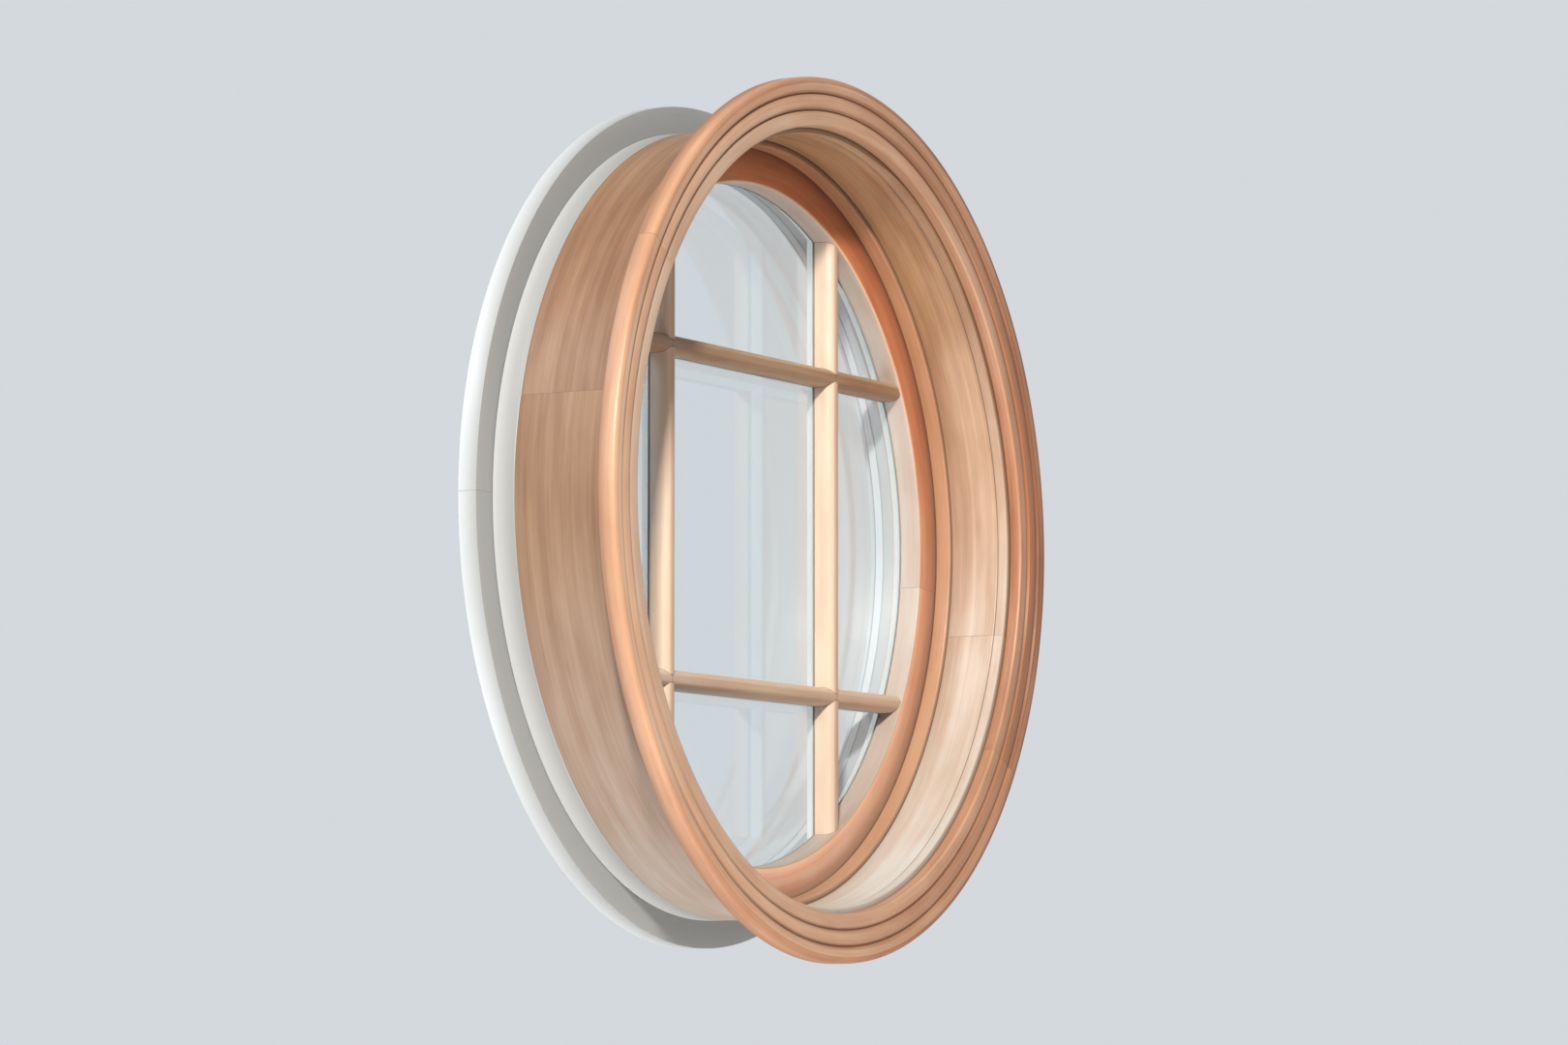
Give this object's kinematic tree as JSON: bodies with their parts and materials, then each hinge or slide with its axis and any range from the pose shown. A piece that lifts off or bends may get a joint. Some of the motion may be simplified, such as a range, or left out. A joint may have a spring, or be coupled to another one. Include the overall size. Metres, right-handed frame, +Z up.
{
  "type": "round window",
  "caption": "Round fixed wooden window with a moulded casing, a deep round jamb, a muntin grid and divided panes, and a storm pane in a painted outdoor frame.",
  "frame": {"origin": "on the window's axis, in the room face of the wall", "axes": "+Y outdoors along the axis of the window, +Z up, +X to the right as seen from the room"},
  "size_m": [1.016, 0.212, 1.016],
  "materials": {
    "casing_wood": "clear satin varnish",
    "liner_wood": "clear satin varnish, grain running round",
    "bead_wood": "clear satin varnish",
    "sash_wood": "clear satin varnish",
    "muntin_wood": "clear satin varnish",
    "painted_wood": "white exterior paint, satin",
    "tongue_wood": "plain",
    "glass": "clear float glass",
    "putty": "painted putty"
  },
  "bodies": {
    "root": {"casing_half_1": "casing_wood", "casing_half_2": "casing_wood", "casing_tongues": "tongue_wood", "jamb_liner_half_1": "liner_wood", "jamb_liner_half_2": "liner_wood", "stop_bead": "bead_wood", "sash_half_1": "sash_wood", "sash_half_2": "sash_wood", "sash_tongues": "tongue_wood", "muntin_upright_left": "muntin_wood", "muntin_upright_right": "muntin_wood", "muntin_level_upper": "muntin_wood", "muntin_level_lower": "muntin_wood", "pane_middle": "glass", "pane_top": "glass", "pane_bottom": "glass", "pane_left": "glass", "pane_right": "glass", "pane_upper_left": "glass", "pane_upper_right": "glass", "pane_lower_left": "glass", "pane_lower_right": "glass", "glazing_putty": "putty", "frame_ring": "painted_wood", "outer_pane": "glass", "outer_bead": "painted_wood", "outer_trim_half_1": "painted_wood", "outer_trim_half_2": "painted_wood", "outer_trim_tongues": "tongue_wood"}
  },
  "joints": []
}
